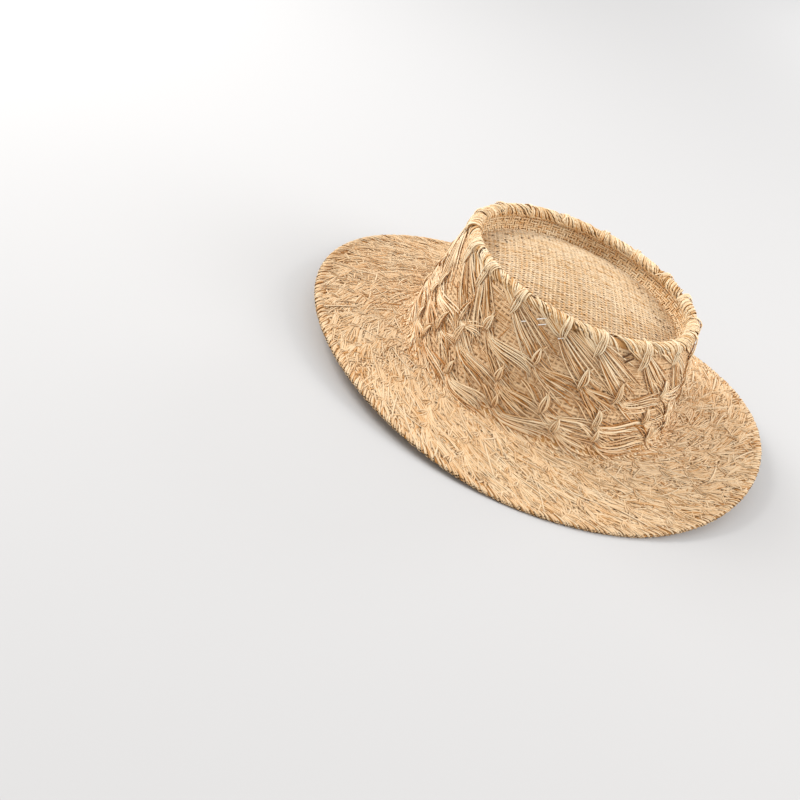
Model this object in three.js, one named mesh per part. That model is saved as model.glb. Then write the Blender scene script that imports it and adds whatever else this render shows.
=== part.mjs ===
// A straw boater hat: a flat round brim with a turned edge, a tapered crown wall with rows of
// knotted tufts, a rope-like rim, and a domed tip sunk inside that rim.
// Millimetres, +Z up. Z is the crown's axis and -Y is the front. The hat is open underneath and
// rests on the lowest stretches of its brim, at the front and at the back, at z = 0.

import * as THREE from 'three';

// Brim: its outline, its thickness and how it waves
const brimRadius = 165;
const brimThickness = 2.4;
const brimOval = 0.018;
const sideLift = 7.9;
const leftRightLift = 1.65;
const restDrop = 7;
const liftCurve = 1.25;
const levelWidth = 7;

// Turned edge around the brim
const edgeWidth = 3.2;
const edgeThickness = 3;
const edgeRound = 1;

// Crown wall, from its foot on the brim to the seat of the rim
const footRadius = 98;
const footFlare = 2.2;
const footFlareHeight = 5;
const wallBulge = 0.8;
const wallThickness = 2.2;
const footOval = 0.044;
const rimOval = 0.02;

// Lean of the crown: how far its top stands to the right of its foot, and how much lower the rim is
// at the right than at the crown's middle
const topShift = 1.8;
const topDrop = 2.6;

// Rope-like rim
const crownHeight = 77;
const rimRadius = 84.4;
const rimWidth = 8.4;
const rimHeight = 7.2;
const rimOverhang = 0.4;
const rimLobe = 0.5;
const rimLobeCount = 36;
const rimKnotRise = 1;

// Sunk tip with its upstanding collar
const tipDepth = 16;
const tipRise = 8.5;
const tipThickness = 2.2;
const collarThickness = 2.2;
const collarLean = 1.5;
const grooveFillet = 3;

// Knotted tufts on the crown wall
const tuftsPerRow = 18;
const tuftRelief = 1.5;
const knotWidth = 5;
const knotHeight = 12;
const fanLength = 33;
const fanWidth = 9;
const fanSlope = 24;

// Clearance between one piece and the next
const gap = 0.3;

// Facets
const brimSegments = 96;
const wallSegments = 108;
const rimSegments = 120;
const tipSegments = 52;
const brimRings = 8;
const wallRows = 15;
const domeRings = 6;
const undersideRings = 3;
const collarRows = 2;

// Rows of tufts from the rim down: height is a share of the wall's height, shift a share of the
// distance from one tuft to the next, and rise and length are shares of tuftRelief and fanLength.
const tuftRows = [
  { height: 1.02, shift: -0.12, rise: 1.0, length: 1.0 },
  { height: 0.67, shift: -0.2, rise: 1.0, length: 1.0 },
  { height: 0.4, shift: 0.33, rise: 0.9, length: 0.95 },
  { height: 0.19, shift: 0.53, rise: 0.7, length: 0.8 },
];

// Section of the rim, outward and up as shares of half its width and half its height. Twist says how
// far the lobes of the rope show there: not at all on the flat that seats on the wall and collar.
const rimSection = [
  { outward: -0.62, up: -1.0, twist: 0 },
  { outward: 0.62, up: -1.0, twist: 0 },
  { outward: 0.96, up: -0.4, twist: 0.6 },
  { outward: 0.92, up: 0.35, twist: 1 },
  { outward: 0.45, up: 0.93, twist: 1 },
  { outward: -0.4, up: 0.93, twist: 1 },
  { outward: -0.94, up: 0.2, twist: 0.8 },
];

// Heights and radii that follow from the sizes above
const brimMiddle = restDrop + brimThickness / 2;
const brimTop = brimMiddle + brimThickness / 2;
const footInside = footRadius - wallThickness;
const footOutside = footRadius + footFlare;
const wallFoot = brimTop + gap;
const rimTop = brimMiddle + crownHeight;
const rimSeat = rimTop - rimHeight;
const wallTop = rimSeat - gap;
const wallTopRadius = rimRadius - rimOverhang;
const collarRadius = wallTopRadius - wallThickness - gap;
const tipEdge = rimTop - tipDepth;

const turn = 2 * Math.PI;
const degree = Math.PI / 180;

function ovalStretch(share, angle) {
  return 1 - share * Math.cos(2 * angle);
}

// How far the brim's edge lies above its root: up at the sides, down at the front and back
function edgeLift(angle) {
  return sideLift * Math.cos(2 * angle) + leftRightLift * Math.cos(3 * angle);
}

// A point of the brim or its edge. Above is its height over the middle of the straw. The lift grows
// from the crown's foot outward, and stays the same over the outermost stretch.
function placeOnBrim(radius, angle, above) {
  const run = Math.max(0, (radius - footOutside) / (brimRadius - footOutside));
  const liftRun = Math.max(0, (radius - footOutside) / (brimRadius - levelWidth - footOutside));
  const lift = Math.max(edgeLift(angle) * Math.min(liftRun, 1) ** liftCurve, -restDrop);
  const stretch = THREE.MathUtils.lerp(ovalStretch(footOval, angle), ovalStretch(brimOval, angle), run);
  const reach = radius * stretch;
  return new THREE.Vector3(reach * Math.cos(angle), reach * Math.sin(angle), brimMiddle + lift + above);
}

// A point of the crown, which gets rounder and leans more the higher it is
function placeOnCrown(radius, angle, height) {
  const lean = (height - wallFoot) / (wallTop - wallFoot);
  const reach = radius * ovalStretch(THREE.MathUtils.lerp(footOval, rimOval, lean), angle);
  const across = reach * Math.cos(angle);
  const drop = (topDrop * lean * across) / rimRadius;
  return new THREE.Vector3(across + topShift * lean, reach * Math.sin(angle), height - drop);
}

// A ring or a disc from its section, which runs counterclockwise in the plane of radius and height,
// either closed on itself or from the axis back to the axis. Place moves each point to its true spot.
function turnedSolid(section, segments, place) {
  const outline = section.map(([radius, height]) => new THREE.Vector2(radius, height));
  const geometry = new THREE.LatheGeometry(outline, segments);
  geometry.deleteAttribute('normal');
  geometry.deleteAttribute('uv');
  const points = geometry.attributes.position;
  for (let i = 0; i < points.count; i += 1) {
    const step = Math.floor(i / section.length) % segments;
    const [radius, height] = section[i % section.length];
    const spot = place(radius, (turn * step) / segments, height, i % section.length);
    points.setXYZ(i, spot.x, spot.y, spot.z);
  }
  return geometry;
}

function closed(section) {
  return [...section, section[0]];
}

// Evenly spaced numbers from start to end, both included
function spread(start, end, steps) {
  return Array.from({ length: steps + 1 }, (_, i) => THREE.MathUtils.lerp(start, end, i / steps));
}

function piece(name, geometry, color, roughness) {
  const mesh = new THREE.Mesh(geometry, new THREE.MeshStandardMaterial({ color, roughness, metalness: 0 }));
  mesh.name = name;
  return mesh;
}

// Brim: a waved ring whose flat root carries the crown wall
function makeBrim() {
  const outside = brimRadius - edgeWidth - gap;
  const outer = spread(footOutside, outside, brimRings - 1);
  const radii = [footInside, ...outer];
  const half = brimThickness / 2;
  const under = radii.map((radius) => [radius, -half]);
  const over = radii.map((radius) => [radius, half]).reverse();
  return turnedSolid(closed([...under, ...over]), brimSegments, placeOnBrim);
}

// Turned edge: a rounded band outside the brim, level with the brim's underside
function makeBrimEdge() {
  const inside = brimRadius - edgeWidth;
  const bottom = -brimThickness / 2;
  const top = bottom + edgeThickness;
  const section = [
    [inside, bottom],
    [brimRadius - edgeRound, bottom],
    [brimRadius, bottom + edgeRound],
    [brimRadius, top - edgeRound],
    [brimRadius - edgeRound, top],
    [inside, top],
  ];
  return turnedSolid(closed(section), brimSegments, placeOnBrim);
}

// Outside radius of the crown wall, without its tufts
function wallRadius(height) {
  const share = (height - wallFoot) / (wallTop - wallFoot);
  const straight = THREE.MathUtils.lerp(footRadius, wallTopRadius, share);
  const flare = footFlare * Math.max(0, 1 - (height - wallFoot) / footFlareHeight) ** 2;
  return straight + wallBulge * Math.sin(Math.PI * share) + flare;
}

// How far a tuft stands out, from the place across and up from its knot: the knot is an upright
// hump, and its fan of strands runs from there down to the right and narrows at both ends.
function tuftAt(across, up, length) {
  const knot = Math.exp(-((across / (knotWidth / 2)) ** 2) - (up / (knotHeight / 2)) ** 2);
  const slope = fanSlope * degree;
  const along = (across * Math.cos(slope) - up * Math.sin(slope)) / length;
  const beside = across * Math.sin(slope) + up * Math.cos(slope);
  if (along <= 0 || along >= 1) return knot;
  const fan = Math.sqrt(Math.sin(Math.PI * along)) * Math.exp(-((beside / (fanWidth / 2)) ** 2));
  return Math.max(knot, fan);
}

// Height of the tufts' relief anywhere on the crown wall
function tuftsOnWall(angle, height) {
  const radius = wallRadius(height);
  const pitch = turn / tuftsPerRow;
  let relief = 0;
  for (const row of tuftRows) {
    const up = height - THREE.MathUtils.lerp(wallFoot, wallTop, row.height);
    const first = Math.floor(angle / pitch - row.shift);
    for (const knot of [first - 2, first - 1, first, first + 1]) {
      const across = (angle - (knot + row.shift) * pitch) * radius;
      relief = Math.max(relief, row.rise * tuftAt(across, up, row.length * fanLength));
    }
  }
  return tuftRelief * relief;
}

// Crown wall: smooth inside, tufts outside, standing on the brim's root
function makeCrownWall() {
  const heights = [wallFoot, ...spread(wallFoot + footFlareHeight / 2, wallTop, wallRows - 1)];
  const outer = heights.map((height) => [wallRadius(height), height]);
  const innerHeights = [wallTop, wallFoot + (wallTop - wallFoot) / 2, wallFoot];
  const inner = innerHeights.map((height) => {
    const flare = height === wallFoot ? footFlare : 0;
    return [wallRadius(height) - flare - wallThickness, height];
  });
  const place = (radius, angle, height, index) => {
    const tufted = index > 0 && index < outer.length - 1;
    return placeOnCrown(radius + (tufted ? tuftsOnWall(angle, height) : 0), angle, height);
  };
  return turnedSolid(closed([...outer, ...inner]), wallSegments, place);
}

// Rim: a rope of twisted strands with a knot over each tuft of the top row
function makeCrownRim() {
  const middle = rimRadius - rimWidth / 2;
  const section = rimSection.map((point) => [
    middle + (point.outward * rimWidth) / 2,
    rimSeat + ((1 + point.up) * rimHeight) / 2,
  ]);
  const twists = rimSection.map((point) => point.twist);
  const place = (radius, angle, height, index) => {
    const twist = twists[index % twists.length];
    const around = Math.atan2(height - rimSeat - rimHeight / 2, radius - middle);
    const lobe = rimLobe * twist * Math.cos(rimLobeCount * angle + 2 * around);
    const atKnot = Math.max(0, Math.cos(tuftsPerRow * angle)) ** 4;
    const rise = twist === 1 ? rimKnotRise * atKnot : 0;
    return placeOnCrown(radius + lobe * Math.cos(around), angle, height + lobe * Math.sin(around) + rise);
  };
  return turnedSolid(closed(section), rimSegments, place);
}

// Height of the tip's upper face over its edge
function domeRise(radius, edgeRadius) {
  return tipRise * (1 - (radius / edgeRadius) ** 2);
}

// Tip: a domed disc whose collar stands up inside the crown wall as far as the rim
function makeCrownTip() {
  const outside = collarRadius - collarLean;
  const inside = outside - collarThickness;
  const groove = inside - grooveFillet;
  const under = spread(0, outside - grooveFillet / 2, undersideRings).map((radius) => [
    radius,
    tipEdge - tipThickness + domeRise(Math.min(radius, groove), groove),
  ]);
  const collarHeights = spread(tipEdge, wallTop, collarRows);
  const collar = collarHeights.map((height, i) => [outside + (collarLean * i) / collarRows, height]);
  const back = [...collar].reverse().map(([radius, height]) => [radius - collarThickness, height]);
  back[back.length - 1][1] += grooveFillet / 2;
  const dome = spread(groove, 0, domeRings).map((radius) => [radius, tipEdge + domeRise(radius, groove)]);
  return turnedSolid([...under, ...collar, ...back, ...dome], tipSegments, placeOnCrown);
}

const hat = new THREE.Group();
hat.add(
  piece('brim', makeBrim(), 0xdcb88c, 0.8),
  piece('brim_edge', makeBrimEdge(), 0xcfa877, 0.8),
  piece('crown_wall', makeCrownWall(), 0xc79f70, 0.85),
  piece('crown_rim', makeCrownRim(), 0xd2ac7c, 0.8),
  piece('crown_tip', makeCrownTip(), 0xe0c39a, 0.8),
);

export default hat;
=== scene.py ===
"""A woven raffia hat: knotted tufts on the crown wall and brim, a rope-like rim and a plain-woven sunk tip.

Sizes are millimetres in the frame's own axes, and every mesh is written in metres. A place on the hat is
given by its angle around the crown's axis, its radius and its height, and place() turns those into a point.
Strands are thin closed ribbons laid over a surface by loops, with all random choices seeded.
"""

import math

import bpy
import numpy as np
from mathutils import Matrix, Vector


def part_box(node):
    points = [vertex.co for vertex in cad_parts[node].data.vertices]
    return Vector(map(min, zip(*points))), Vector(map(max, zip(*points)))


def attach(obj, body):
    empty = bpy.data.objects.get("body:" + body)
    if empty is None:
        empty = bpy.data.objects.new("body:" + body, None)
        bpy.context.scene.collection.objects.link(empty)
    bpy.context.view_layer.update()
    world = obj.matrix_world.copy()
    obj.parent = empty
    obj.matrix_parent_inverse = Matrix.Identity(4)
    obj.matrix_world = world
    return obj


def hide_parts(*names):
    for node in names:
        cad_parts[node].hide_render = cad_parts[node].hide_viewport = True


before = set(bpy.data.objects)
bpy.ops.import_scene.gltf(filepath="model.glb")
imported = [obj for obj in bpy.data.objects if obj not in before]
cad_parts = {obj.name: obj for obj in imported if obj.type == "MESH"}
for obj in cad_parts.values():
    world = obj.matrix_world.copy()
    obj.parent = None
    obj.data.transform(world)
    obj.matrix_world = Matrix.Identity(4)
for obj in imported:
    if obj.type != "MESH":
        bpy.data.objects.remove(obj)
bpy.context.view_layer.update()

MM = 0.001
TURN = 2 * math.pi

# Sizes read from the frame, in millimetres
EDGE_LOW, EDGE_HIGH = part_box("brim_edge")
BRIM_WIDE = (EDGE_HIGH.x - EDGE_LOW.x) / MM
BRIM_LONG = (EDGE_HIGH.y - EDGE_LOW.y) / MM
BRIM_RADIUS = (BRIM_WIDE + BRIM_LONG) / 4
BRIM_OVAL = (BRIM_LONG - BRIM_WIDE) / (BRIM_LONG + BRIM_WIDE)

# Sizes that the frame's solids follow
SIDE_LIFT = 7.9
LEFT_RIGHT_LIFT = 1.65
REST_DROP = 7.0
LIFT_CURVE = 1.25
LEVEL_WIDTH = 7.0
BRIM_THICKNESS = 2.4
FOOT_RADIUS = 98.0
FOOT_FLARE = 2.2
FOOT_FLARE_HEIGHT = 5.0
WALL_BULGE = 0.8
WALL_THICKNESS = 2.2
FOOT_OVAL = 0.044
RIM_OVAL = 0.02
TOP_SHIFT = 1.8
TOP_DROP = 2.6
CROWN_HEIGHT = 77.0
RIM_RADIUS = 84.4
RIM_WIDTH = 8.4
RIM_HEIGHT = 7.2
RIM_OVERHANG = 0.4
TIP_DEPTH = 16.0
TIP_RISE = 8.5
TUFTS_PER_ROW = 18
GAP = 0.3

BRIM_MIDDLE = REST_DROP + BRIM_THICKNESS / 2
BRIM_TOP = BRIM_MIDDLE + BRIM_THICKNESS / 2
FOOT_OUTSIDE = FOOT_RADIUS + FOOT_FLARE
WALL_FOOT = BRIM_TOP + GAP
RIM_TOP = BRIM_MIDDLE + CROWN_HEIGHT
RIM_SEAT = RIM_TOP - RIM_HEIGHT
WALL_TOP = RIM_SEAT - GAP
WALL_TOP_RADIUS = RIM_RADIUS - RIM_OVERHANG
RIM_MIDDLE = RIM_RADIUS - RIM_WIDTH / 2
TIP_EDGE = RIM_TOP - TIP_DEPTH
TIP_RADIUS = 76.5

# Angles in degrees where the strands over the rim's section start, inside, and end, outside
RIM_START = 218
RIM_END = -32
STRAND_INSET = 0.7

# Camera, fitted to the outlines of the brim, the rim and the crown's foot
CAMERA_AT = (-177.0, -782.8, 404.4)
CAMERA_AIM = (-97.9, -161.9, 40.0)
CAMERA_ROLL = 23.38
CAMERA_LENS = 58.5


def unit(vectors):
    return vectors / np.maximum(np.linalg.norm(vectors, axis=-1, keepdims=True), 1e-12)


def shares(steps):
    """Shares of the way along a strand, from 0 to 1, as one row for arrays of (strands, steps)."""
    return np.linspace(0, 1, steps)[None, :]


def summed(parts):
    """Running sums of each row, from 0."""
    return np.concatenate([np.zeros((len(parts), 1)), np.cumsum(parts, axis=1)], axis=1)


def edge_lift(angle):
    return SIDE_LIFT * np.cos(2 * angle) + LEFT_RIGHT_LIFT * np.cos(3 * angle)


def place(angle, radius, height):
    """Points in millimetres for arrays of angle, radius and height: the hat's oval, lean and wave."""
    lean = np.maximum((height - WALL_FOOT) / (WALL_TOP - WALL_FOOT), 0)
    run = np.maximum((radius - FOOT_OUTSIDE) / (BRIM_RADIUS - FOOT_OUTSIDE), 0)
    level = np.clip((radius - FOOT_OUTSIDE) / (BRIM_RADIUS - LEVEL_WIDTH - FOOT_OUTSIDE), 0, 1)
    oval = FOOT_OVAL + (RIM_OVAL - FOOT_OVAL) * lean + (BRIM_OVAL - FOOT_OVAL) * run
    reach = radius * (1 - oval * np.cos(2 * angle))
    lift = np.maximum(edge_lift(angle) * level ** LIFT_CURVE, -REST_DROP)
    across = reach * np.cos(angle)
    up = height + lift - TOP_DROP * lean * across / RIM_RADIUS
    return np.stack([across + TOP_SHIFT * lean, reach * np.sin(angle), up], axis=-1)


class Surface:
    """A face of the hat, from its section: points of (radius, height) along which run counts millimetres.

    Its normals point to the left of the section's direction, seen with the radius to the right."""

    # How far to either side of a place its normal is measured, in radians and in millimetres
    TURN_STEP = 0.004
    RUN_STEP = 0.6

    def __init__(self, section):
        self.section = np.array(section, float)
        steps = np.linalg.norm(np.diff(self.section, axis=0), axis=1)
        self.runs = np.concatenate([[0], np.cumsum(steps)])
        self.length = self.runs[-1]

    def spot(self, angle, run):
        radius = np.interp(run, self.runs, self.section[:, 0])
        height = np.interp(run, self.runs, self.section[:, 1])
        return place(angle, radius, height)

    def radius(self, run):
        return np.interp(run, self.runs, self.section[:, 0])

    def at(self, angle, run, lift):
        """Points lifted off the surface, and the surface's normals there."""
        spot = self.spot(angle, run)
        around = self.spot(angle + self.TURN_STEP, run) - self.spot(angle - self.TURN_STEP, run)
        along = self.spot(angle, run + self.RUN_STEP) - self.spot(angle, run - self.RUN_STEP)
        normal = unit(np.cross(along, around))
        return spot + normal * lift[..., None], normal


def wall_radius(height):
    share = (height - WALL_FOOT) / (WALL_TOP - WALL_FOOT)
    straight = FOOT_RADIUS + (WALL_TOP_RADIUS - FOOT_RADIUS) * share
    flare = FOOT_FLARE * max(0.0, 1 - (height - WALL_FOOT) / FOOT_FLARE_HEIGHT) ** 2
    return straight + WALL_BULGE * math.sin(math.pi * share) + flare


def rim_section(start, end, inset, count):
    """Points around the rim's section between two angles in degrees, inset from its surface."""
    turns = np.radians(np.linspace(start, end, count))
    radius = RIM_MIDDLE + (RIM_WIDTH / 2 - inset) * np.cos(turns)
    height = RIM_SEAT + RIM_HEIGHT / 2 + (RIM_HEIGHT / 2 - inset) * np.sin(turns)
    return list(zip(radius, height))


def length_of(section):
    return float(np.linalg.norm(np.diff(np.array(section), axis=0), axis=1).sum())


# The outside runs from the rim's inner foot over its top, down the wall and out over the brim
RIM_SECTION = rim_section(RIM_START, RIM_END, STRAND_INSET, 24)
WALL_SECTION = [(wall_radius(height), height) for height in np.linspace(WALL_TOP, WALL_FOOT, 60)]
BRIM_SECTION = [(radius, BRIM_TOP) for radius in np.linspace(FOOT_OUTSIDE + 0.8, BRIM_RADIUS - 1, 50)]
OUTSIDE = Surface(RIM_SECTION + WALL_SECTION + BRIM_SECTION)
RIM_RUN = length_of(RIM_SECTION)
WALL_RUN = length_of(RIM_SECTION + WALL_SECTION[:1])
FOOT_RUN = length_of(RIM_SECTION + WALL_SECTION)


class Strands:
    """Collects ribbons and writes them as one mesh of closed bodies. Painted edge shade is how much darker a
    ribbon is along its edges, as a share of the range of tones: painted shade for the dark lines between
    strands."""

    # Corners of a ribbon's section, as shares of half its width and of its thickness
    SECTION = np.array([(-1.0, -0.3), (1.0, -0.3), (0.0, 0.7)])
    # Each ribbon cuts its streaks out of the noise at its own place in this range
    GRAIN_SPAN = 400

    def __init__(self, seed, painted_edge_shade):
        self.random = np.random.default_rng(seed)
        self.painted_edge_shade = painted_edge_shade
        self.points = []
        self.quads = []
        self.caps = []
        self.grain = []
        self.tone = []
        self.count = 0

    def add(self, spots, normals, width, thickness, tone, roll=None):
        """Ribbons from spots and normals of shape (strands, steps, 3). Width and thickness are arrays of
        (strands, steps) in millimetres, roll one number for each strand, and tone either of the two."""
        strands, steps = spots.shape[:2]
        along = unit(np.gradient(spots, axis=1))
        across = unit(np.cross(normals, along))
        up = np.cross(along, across)
        if roll is not None:
            turn_cos = np.cos(roll)[:, None, None]
            turn_sin = np.sin(roll)[:, None, None]
            across, up = across * turn_cos + up * turn_sin, up * turn_cos - across * turn_sin
        corners = len(self.SECTION)
        ring = (
            spots[:, :, None, :]
            + across[:, :, None, :] * (self.SECTION[:, 0] * width[..., None] / 2)[..., None]
            + up[:, :, None, :] * (self.SECTION[:, 1] * thickness[..., None])[..., None]
        )
        index = self.count + np.arange(strands * steps * corners).reshape(strands, steps, corners)
        following = np.roll(index, -1, axis=2)
        quads = np.stack([index[:, :-1], following[:, :-1], following[:, 1:], index[:, 1:]], axis=-1)
        self.points.append(ring.reshape(-1, 3))
        self.quads.append(quads.reshape(-1, 4))
        self.caps.append(index[:, 0, ::-1])
        self.caps.append(index[:, -1])
        travelled = summed(np.linalg.norm(np.diff(spots, axis=1), axis=2))
        own = self.random.uniform(0, self.GRAIN_SPAN, strands)
        grain = np.zeros((strands, steps, corners, 3))
        grain[..., 0] = self.SECTION[:, 0] * width[..., None] / 2
        grain[..., 1] = travelled[..., None]
        grain[..., 2] = own[:, None, None]
        self.grain.append(grain.reshape(-1, 3))
        # Painted shade: each ribbon's tone falls towards its edges, standing in for the shade between
        # neighbouring strands
        painted_edge_shade = self.painted_edge_shade * np.abs(self.SECTION[:, 0])
        tone = tone[:, None] if tone.ndim == 1 else tone
        self.tone.append(np.broadcast_to(tone[:, :, None] - painted_edge_shade, (strands, steps, corners)).reshape(-1))
        self.count += strands * steps * corners

    def mesh(self, name, material, slot, *nodes):
        points = np.concatenate(self.points) * MM
        points[:, 2] = np.maximum(points[:, 2], 0)
        quads = np.concatenate(self.quads)
        caps = np.concatenate(self.caps)
        mesh = bpy.data.meshes.new(name)
        mesh.vertices.add(len(points))
        mesh.vertices.foreach_set("co", points.astype(np.float32).ravel())
        corners = np.concatenate([quads.ravel(), caps.ravel()]).astype(np.int32)
        mesh.loops.add(len(corners))
        mesh.loops.foreach_set("vertex_index", corners)
        sizes = np.concatenate([np.full(len(quads), 4), np.full(len(caps), 3)])
        starts = np.concatenate([[0], np.cumsum(sizes)[:-1]]).astype(np.int32)
        mesh.polygons.add(len(sizes))
        mesh.polygons.foreach_set("loop_start", starts)
        mesh.polygons.foreach_set("use_smooth", np.ones(len(sizes), bool))
        mesh.update(calc_edges=True)
        grain = mesh.attributes.new("grain", "FLOAT_VECTOR", "POINT")
        grain.data.foreach_set("vector", np.concatenate(self.grain).astype(np.float32).ravel())
        # The tone attribute holds each strand's own tone less its painted edge shade
        tone = mesh.attributes.new("tone", "FLOAT", "POINT")
        tone.data.foreach_set("value", np.concatenate(self.tone).astype(np.float32))
        add_piece(mesh, name, material, slot, *nodes)


def add_object(name, data):
    thing = bpy.data.objects.new(name, data)
    bpy.context.scene.collection.objects.link(thing)
    return thing


def add_piece(mesh, name, material, slot, *nodes):
    thing = add_object(name, mesh)
    mesh.materials.append(material)
    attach(thing, "root")
    if nodes:
        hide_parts(*nodes)


def taper(steps, start, end):
    """A width along a strand as shares of its full width, narrower at both ends."""
    share = shares(steps)
    narrow = start + (end - start) * share
    return narrow + (1 - narrow) * np.sin(np.pi * share) ** 0.6


def walk(surface, angle, run, heading, bend, length, steps):
    """Paths over a surface. Heading 0 goes around the crown, counterclockwise from above, and a quarter
    turn goes along the section. Bend is how far the heading turns from start to end."""
    headings = (heading[:, None] + bend[:, None] * shares(steps))[:, :-1]
    step = (length / (steps - 1))[:, None]
    runs = run[:, None] + summed(np.sin(headings) * step)
    turns = np.cos(headings) * step / surface.radius(runs[:, :-1])
    return angle[:, None] + summed(turns), runs


def weave_set(strands, surface, angle, run, lift, width, look):
    """One set of a weave's strands, each of its own tone with flecks of look's size."""
    random = strands.random
    lift = lift + random.normal(0, look["rough"], run.shape)
    spots, normals = surface.at(angle, run, lift)
    width = width * random.uniform(0.85, 1.1, run.shape)
    thickness = np.full(run.shape, look["thickness"])
    tone = random.uniform(*look["tones"], (len(run), 1)) + look["fleck"] * random.uniform(-1, 1, run.shape)
    strands.add(spots, normals, width, thickness, tone)


def weave(strands, surface, first, last, rings, stakes, look):
    """Basket weave over a surface between two runs: rings go around and stakes go along the section, in
    groups that pass over and under each other by look's swing. Base is the lift of the weave's middle."""
    random = strands.random
    group = look["group"]
    wander = look["wander"]
    runs = np.linspace(first, last, rings)
    pitch = (last - first) / (rings - 1)
    column = np.arange(stakes + 2)
    angles = column * TURN / stakes
    wave = random.uniform(-wander, wander, (rings, 1)) + wander * np.sin(
        angles[None, :] * random.integers(2, 6, (rings, 1)) + random.uniform(0, TURN, (rings, 1))
    )
    over = np.where((np.arange(rings)[:, None] // group + column[None, :] // group) % 2 == 0, 1.0, -1.0)
    run = runs[:, None] + wave * pitch * 0.5
    angle = np.broadcast_to(angles, (rings, stakes + 2))
    lift = look["base"] + look["swing"] * over
    weave_set(strands, surface, angle, run, lift, pitch * look["ring"], look)
    shift = random.uniform(-1, 1, (stakes, 1)) * wander * TURN / stakes * 0.4
    run = np.broadcast_to(runs, (stakes, rings))
    angle = np.broadcast_to(angles[:stakes, None] + shift, (stakes, rings))
    lift = look["base"] - look["swing"] * over[:, :stakes].T
    width = surface.radius(run) * TURN / stakes * look["stake"]
    weave_set(strands, surface, angle, run, lift, width, look)


def curve(surface, angles, runs, headings, steps):
    """Paths over a surface, and the share of the way at each step. Their angles, runs and headings are
    each given as a pair, at start and end."""
    share = shares(steps)
    radius = surface.radius((runs[0] + runs[1]) / 2)
    across = (angles[1] - angles[0]) * radius
    down = runs[1] - runs[0]
    chord = np.hypot(across, down)
    leave = share * (1 - share) ** 2
    arrive = share ** 2 * (share - 1)
    gone = share ** 2 * (3 - 2 * share)
    x = gone * across[:, None] + chord[:, None] * (
        leave * np.cos(headings[0])[:, None] + arrive * np.cos(headings[1])[:, None]
    )
    y = gone * down[:, None] + chord[:, None] * (
        leave * np.sin(headings[0])[:, None] + arrive * np.sin(headings[1])[:, None]
    )
    return angles[0][:, None] + x / radius[:, None], runs[0][:, None] + y, share


# How far a strand stays from its surface's first and last run
START_ROOM = 0.3
END_ROOM = 1.2
# Range of a strand's own tone, from darker than its material's dark stop to pale; the dark end serves the
# brim's specks of painted hole shade
TONE_RANGE = (-0.6, 1)


def lay(strands, surface, angles, runs, lift, look):
    """Ribbons along paths, with the width, thickness, roll and tone that look gives."""
    random = strands.random
    total, steps = angles.shape
    runs = np.clip(runs, START_ROOM, surface.length - END_ROOM)
    spots, normals = surface.at(angles, runs, lift)
    width = random.uniform(*look["width"], (total, 1)) * taper(steps, *look["ends"])
    tone = np.clip(random.normal(look["tone"], look["tone_spread"], total), *TONE_RANGE)
    thickness = np.full(width.shape, look["thickness"])
    strands.add(spots, normals, width, thickness, tone, random.normal(0, look["roll"], total))


def gathers(strands, surface, knots, look):
    """Strands that start side by side between two knots and gather under the second one's loop."""
    random = strands.random
    count = look["strands"]
    knots = np.repeat(knots, count, axis=0)
    total = len(knots)
    share = np.tile((np.arange(count) + 0.5) / count, total // count) + random.normal(0, 0.03, total)
    size = knots[:, 2]
    back = look["reach"] * size * (1 - share) + look["near"]
    start_angle = knots[:, 0] - back / surface.radius(knots[:, 1])
    start_run = knots[:, 1] - look["above"] * size + look["slant"] * share + random.normal(0, 0.8, total)
    end_angle = knots[:, 0] + (random.uniform(-0.2, 0.6, total) + share) * look["waist"] / knots[:, 3]
    end_run = knots[:, 1] + look["foot"] * size * (1.05 - 0.5 * share) + random.normal(0, 0.5, total)
    start_heading = look["leave"] * (0.35 + share) + random.normal(0, 0.06, total)
    end_heading = look["arrive"] * (0.35 + share) + random.normal(0, 0.08, total)
    ends = (start_angle, end_angle), (start_run, end_run), (start_heading, end_heading)
    angles, runs, along = curve(surface, *ends, look["steps"])
    rise = look["rise"] * random.uniform(0.7, 1.3, (total, 1))
    lay(strands, surface, angles, runs, look["base"] + rise * np.sin(np.pi * along) ** 0.5, look)


def fans(strands, surface, knots, look):
    """Strands that come out from under a knot's loop and spread along the surface."""
    random = strands.random
    count = look["strands"]
    knots = np.repeat(knots, count, axis=0)
    total = len(knots)
    share = np.tile((np.arange(count) + 0.5) / count, total // count) + random.normal(0, 0.03, total)
    size = knots[:, 2]
    turn = np.repeat(random.normal(0, look.get("sway", 0), total // count), count)
    run = knots[:, 1] + look["foot"] * size * (0.25 + 0.75 * share)
    angle = knots[:, 0] + random.uniform(0, 1, total) * look["waist"] / knots[:, 3]
    heading = look["first"] + (look["last"] - look["first"]) * share + random.normal(0, 0.05, total) + turn
    bend = look["bend"] * (0.5 - share) + random.normal(0, 0.1, total)
    length = look["length"] * size * random.uniform(0.7, 1.15, total)
    angles, runs = walk(surface, angle, run, heading, bend, length, look["steps"])
    along = shares(look["steps"])
    rise = look["rise"] * random.uniform(0.6, 1.3, (total, 1)) * (1 - along) ** 0.7
    lay(strands, surface, angles, runs, look["base"] + rise, look)


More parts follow.
